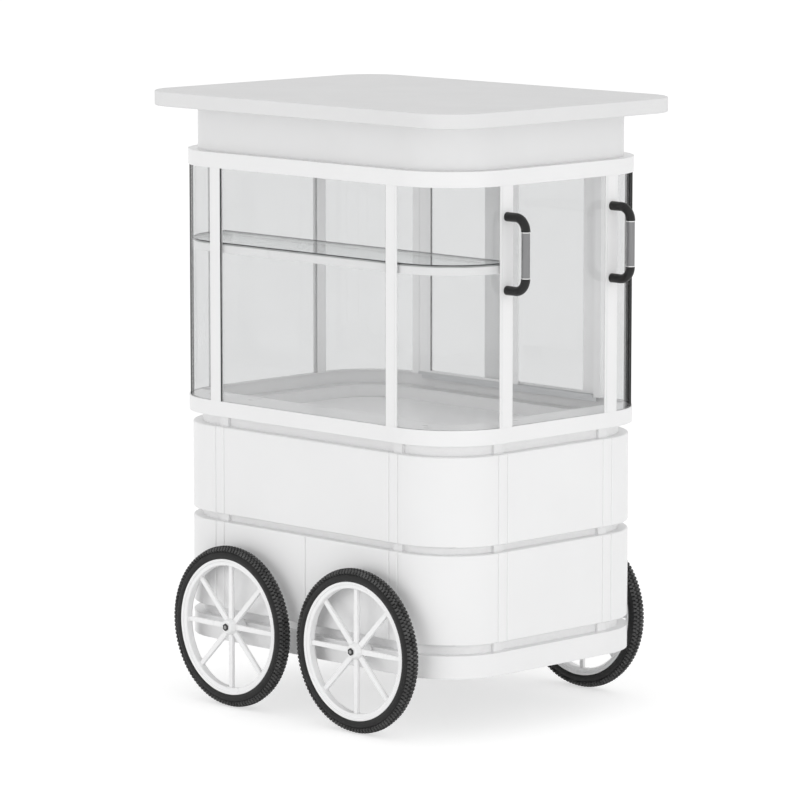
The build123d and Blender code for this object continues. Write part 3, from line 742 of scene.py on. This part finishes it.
def screw_head(bm, place):
    """A low screw head that faces +Y, with a round socket."""
    radius, height, taper, rim, depth = 0.0036, 0.0016, 0.82, 0.0012, 0.0010
    others = set(bm.verts)
    disc = bmesh.ops.create_circle(bm, cap_ends=True, segments=18, radius=radius)["verts"]
    face = disc[0].link_faces[0]
    top = bmesh.ops.extrude_face_region(bm, geom=[face])["geom"]
    verts = [v for v in top if isinstance(v, bmesh.types.BMVert)]
    bmesh.ops.translate(bm, verts=verts, vec=(0, 0, height))
    bmesh.ops.scale(bm, verts=verts, vec=(taper, taper, 1.0))
    cap = next(f for f in top if isinstance(f, bmesh.types.BMFace))
    bmesh.ops.inset_region(bm, faces=[cap], thickness=rim)
    bmesh.ops.translate(bm, verts=cap.verts, vec=(0, 0, -depth))
    screw = [v for v in bm.verts if v not in others]
    turn = Matrix.Rotation(-math.pi / 2, 3, "X")
    bmesh.ops.rotate(bm, verts=screw, cent=(0, 0, 0), matrix=turn)
    bmesh.ops.translate(bm, verts=screw, vec=place)


def hinge_screws():
    """Three screws in each hinge leaf."""
    steps = (0.010, 0.030, 0.050)
    leaf_thickness, fixed_inset, moving_inset = 0.002, 0.008, 0.016
    low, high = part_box("hinge_fixed_leaves")
    face_y = low.y + leaf_thickness
    heights = [low.z + step for step in steps] + [high.z - step for step in steps]
    fixed = bmesh.new()
    for x in (low.x + fixed_inset, high.x - fixed_inset):
        for z in heights:
            screw_head(fixed, (x, face_y, z))
    make_piece(fixed, "fixed_leaf_screws", (hinge_steel,), "cart", 30)
    for door in CUPBOARD_DOORS:
        leaf_low, leaf_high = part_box(door + "_hinge_leaves")
        if door.endswith("left"):
            x = leaf_high.x - moving_inset
        else:
            x = leaf_low.x + moving_inset
        moving = bmesh.new()
        for z in heights:
            screw_head(moving, (x, face_y, z))
        make_piece(moving, door + "_screws", (hinge_steel,), door, 30)


# Studio

FLOOR_LIFT = 0.56
ZENITH_LIGHT = 0.71
SOFTBOX_SIZE = (5.0, 2.4)
SOFTBOX_TARGET = (0.0, 0.0, 0.75)


def seen_rays(tree):
    """1 where the camera sees the surface, also in a mirror or through glass."""
    path = put(tree, "ShaderNodeLightPath").outputs
    seen = math_of(tree, "MAXIMUM", path["Is Camera Ray"], path["Is Glossy Ray"])
    return math_of(tree, "MAXIMUM", seen, path["Is Transmission Ray"])


def studio_floor():
    """A floor that is white where nothing shades it, and keeps a soft shadow."""
    bm = bmesh.new()
    bmesh.ops.create_grid(bm, x_segments=1, y_segments=1, size=60.0)
    mesh = bpy.data.meshes.new("floor")
    bm.to_mesh(mesh)
    bm.free()
    floor = bpy.data.objects.new("floor", mesh)
    scene.collection.objects.link(floor)
    material, tree, shader = shader_of("floor_white")
    tree.nodes.remove(shader)
    plain = put(tree, "ShaderNodeBsdfDiffuse", Color=(0.88, 0.88, 0.88, 1.0)).outputs["BSDF"]
    shadow = put(tree, "ShaderNodeBsdfDiffuse", Color=(0.62, 0.62, 0.62, 1.0)).outputs["BSDF"]
    lift = put(tree, "ShaderNodeEmission", Color=(1, 1, 1, 1), Strength=FLOOR_LIFT)
    white = put(tree, "ShaderNodeAddShader", _0=shadow, _1=lift.outputs["Emission"])
    white = white.outputs["Shader"]
    surface = put(tree, "ShaderNodeMixShader", _0=seen_rays(tree), _1=plain, _2=white)
    tree.links.new(surface.outputs["Shader"], tree.nodes["Material Output"].inputs["Surface"])
    mesh.materials.append(material)


def studio_world():
    """Plain white as the camera sees it. As light it is softer overhead than at the sides."""
    world = bpy.data.worlds.new("studio")
    world.use_nodes = True
    scene.world = world
    tree = world.node_tree
    tree.nodes.clear()
    direction = put(tree, "ShaderNodeTexCoord").outputs["Generated"]
    height = put(tree, "ShaderNodeSeparateXYZ", Vector=direction).outputs["Z"]
    light = spread(tree, height, 1.0, ZENITH_LIGHT, 0.0, 1.0)
    strength = put(tree, "ShaderNodeMix", Factor=seen_rays(tree), A=light, B=1.0)
    sky = put(tree, "ShaderNodeBackground", Strength=strength.outputs["Result"])
    sky.inputs["Color"].default_value = (1.0, 1.0, 1.0, 1.0)
    out = put(tree, "ShaderNodeOutputWorld")
    tree.links.new(sky.outputs["Background"], out.inputs["Surface"])


def softbox(name, place, watts):
    """A wide lamp that is not seen itself, also not in the glass."""
    light = bpy.data.lights.new(name, "AREA")
    light.shape = "RECTANGLE"
    light.size, light.size_y = SOFTBOX_SIZE
    light.energy = watts
    lamp = bpy.data.objects.new(name, light)
    lamp.location = place
    aim = Vector(SOFTBOX_TARGET) - Vector(place)
    lamp.rotation_euler = aim.to_track_quat("-Z", "Y").to_euler()
    lamp.visible_camera = False
    lamp.visible_glossy = False
    scene.collection.objects.link(lamp)


set_camera()
studio_world()
studio_floor()
softbox("side_softbox", (7.0, -1.5, 1.3), 86.0)
softbox("front_softbox", (-1.5, -7.0, 1.3), 62.0)
finish_cad_nodes()
for wheel in WHEELS:
    knobbly_tyre(wheel)
    rim_lips(wheel)
painted_axles()
low_nuts()
for door in SLIDING_DOORS:
    sliding_door(door)
stile_seal()
door_jambs()
front_pane_seals()
glazing_beads()
grip_collars()
hinge_screws()
